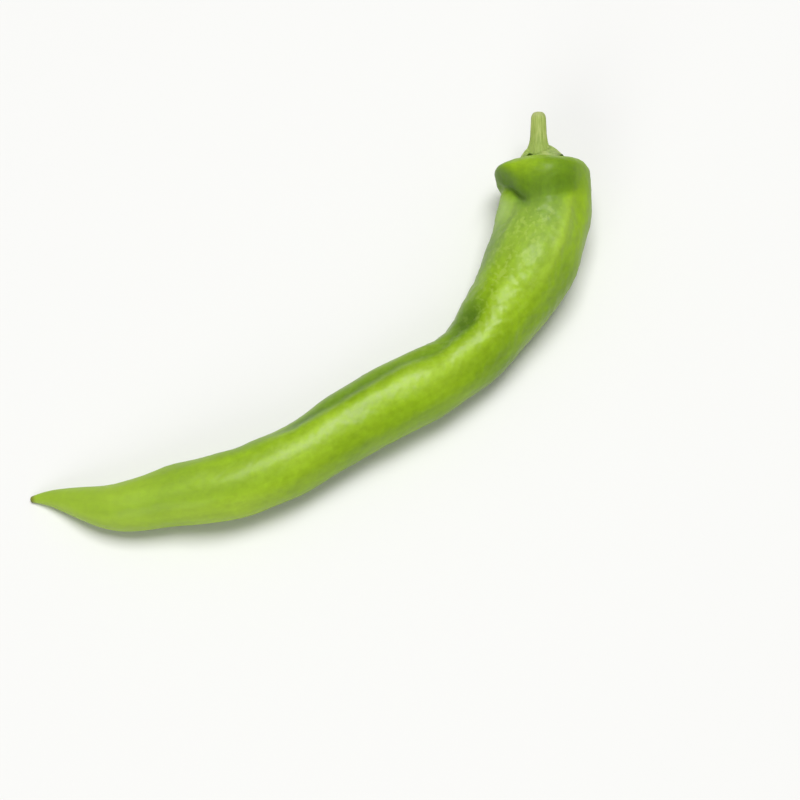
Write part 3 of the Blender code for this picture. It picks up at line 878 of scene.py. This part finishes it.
calyx.data.materials.append(leafy)
print("material:", leafy.name, "with", len(tree.nodes), "nodes")

# %% Stalk material
FIBRE_WIDTH = 0.6 * MM
FIBRE_STRETCH = 0.08        # the fibres are drawn out along the stalk by one over this
woody, tree, shader = new_material("fibrous_green_stalk")
place = add(tree, "ShaderNodeAttribute", {"attribute_name": "straight"})
cut_value = add(tree, "ShaderNodeAttribute", {"attribute_name": "cut"})
level_value = add(tree, "ShaderNodeAttribute", {"attribute_name": "level"})
fibre_place = add(tree, "ShaderNodeVectorMath", {"operation": "MULTIPLY"},
                  {0: place.outputs["Vector"], 1: (1.0, 1.0, FIBRE_STRETCH)})
fibres = add(tree, "ShaderNodeTexNoise", inputs={
    "Vector": fibre_place.outputs["Vector"], "Scale": 1 / FIBRE_WIDTH, "Detail": 3.0})
stalk_green = add(tree, "ShaderNodeValToRGB", inputs={"Fac": fibres.outputs["Fac"]}, stops=[
    (0.32, "#8da247"), (0.50, "#a2b458"), (0.68, "#b5c270")])
foot = add(tree, "ShaderNodeMapRange", {"interpolation_type": "SMOOTHSTEP"}, {
    "Value": level_value.outputs["Fac"], "From Min": 0.30, "From Max": 0.62,
    "To Min": 0.55, "To Max": 0.0})
greener = add(tree, "ShaderNodeMix", {"data_type": "RGBA"}, {
    "Factor": foot.outputs["Result"], COLOUR_A: stalk_green.outputs["Color"],
    COLOUR_B: linear("#93ad4b")})
pith = add(tree, "ShaderNodeMix", {"data_type": "RGBA"}, {
    "Factor": cut_value.outputs["Fac"], COLOUR_A: greener.outputs[MIXED],
    COLOUR_B: linear("#b3b684")})
tree.links.new(pith.outputs[MIXED], shader.inputs["Base Color"])
fibre_bump = add(tree, "ShaderNodeBump", inputs={
    "Strength": 0.6, "Distance": 0.12 * MM, "Height": fibres.outputs["Fac"]})
tree.links.new(fibre_bump.outputs["Normal"], shader.inputs["Normal"])
shader.inputs["Roughness"].default_value = 0.55
shader.inputs["IOR"].default_value = 1.45              # tough, drier tissue
shader.inputs["Subsurface Weight"].default_value = 0.12
shader.inputs["Subsurface Radius"].default_value = (0.8, 1.0, 0.3)
shader.inputs["Subsurface Scale"].default_value = 1.0 * MM
stalk.data.materials.append(woody)
print("material:", woody.name, "with", len(tree.nodes), "nodes")

# %% [markdown]
# ## Table, light and camera
# A plain pale table top keeps the eye on the pepper. It is matt laminate, a pressed sheet,
# so it shows soft shadows and no reflections. One large soft light hangs over the pepper and
# draws the long broken highlight down its back. A weak one fills its low left side, and the
# bright room softens the shadows.

# %% Table
bpy.ops.mesh.primitive_plane_add(size=8.0, location=(0.0, 0.0, 0.0))
table = bpy.context.active_object
table.name = "table_top"
paint, tree, shader = new_material("matt_white_laminate")
shader.inputs["Base Color"].default_value = linear("#ebebe9")
shader.inputs["Roughness"].default_value = 0.7
shader.inputs["Specular IOR Level"].default_value = 0.2
table.data.materials.append(paint)
print("table top", round(table.dimensions.x, 1), "m wide, at height", table.location.z)

# %% Camera
LOOK_HEADING = math.radians(49.92)   # the direction looked along, from +X
LOOK_DOWN = math.radians(66.0)
DISTANCE = 0.6044
aim = Vector((3.32, -21.36, 15.0)) * MM
look = Vector((math.cos(LOOK_HEADING) * math.cos(LOOK_DOWN),
               math.sin(LOOK_HEADING) * math.cos(LOOK_DOWN), -math.sin(LOOK_DOWN)))
camera_data = bpy.data.cameras.new("camera")
camera_data.lens = 85.0
camera_data.sensor_width = 36.0
camera_data.dof.use_dof = False
camera_data.clip_start = 0.01
camera = bpy.data.objects.new("camera", camera_data)
bpy.context.scene.collection.objects.link(camera)
camera.location = aim - look * DISTANCE
camera.rotation_euler = look.to_track_quat("-Z", "Y").to_euler()
bpy.context.scene.camera = camera
print("camera at", [round(v, 3) for v in camera.location], "m")

# %% Lights
def soft_light(name, turn, height, distance, size, watts):
    """A square area light round the pepper; turn 0 is the side away from the camera."""
    heading = LOOK_HEADING - math.radians(turn)
    up = math.radians(height)
    back = Vector((math.cos(heading) * math.cos(up), math.sin(heading) * math.cos(up),
                   math.sin(up)))
    lamp = bpy.data.lights.new(name, "AREA")
    lamp.size = size
    lamp.energy = watts
    thing = bpy.data.objects.new(name, lamp)
    bpy.context.scene.collection.objects.link(thing)
    thing.location = aim + back * distance
    thing.rotation_euler = (-back).to_track_quat("-Z", "Y").to_euler()


soft_light("overhead_softbox", turn=15, height=80, distance=2.7, size=1.50, watts=66.0)
soft_light("low_left_fill", turn=-160, height=28, distance=1.8, size=0.90, watts=7.2)

room = bpy.data.worlds.new("bright_room")
bpy.context.scene.world = room
room.use_nodes = True
room.node_tree.nodes["Background"].inputs["Color"].default_value = (1.0, 1.0, 1.0, 1.0)
room.node_tree.nodes["Background"].inputs["Strength"].default_value = 0.25
bpy.context.scene.view_settings.view_transform = "Standard"
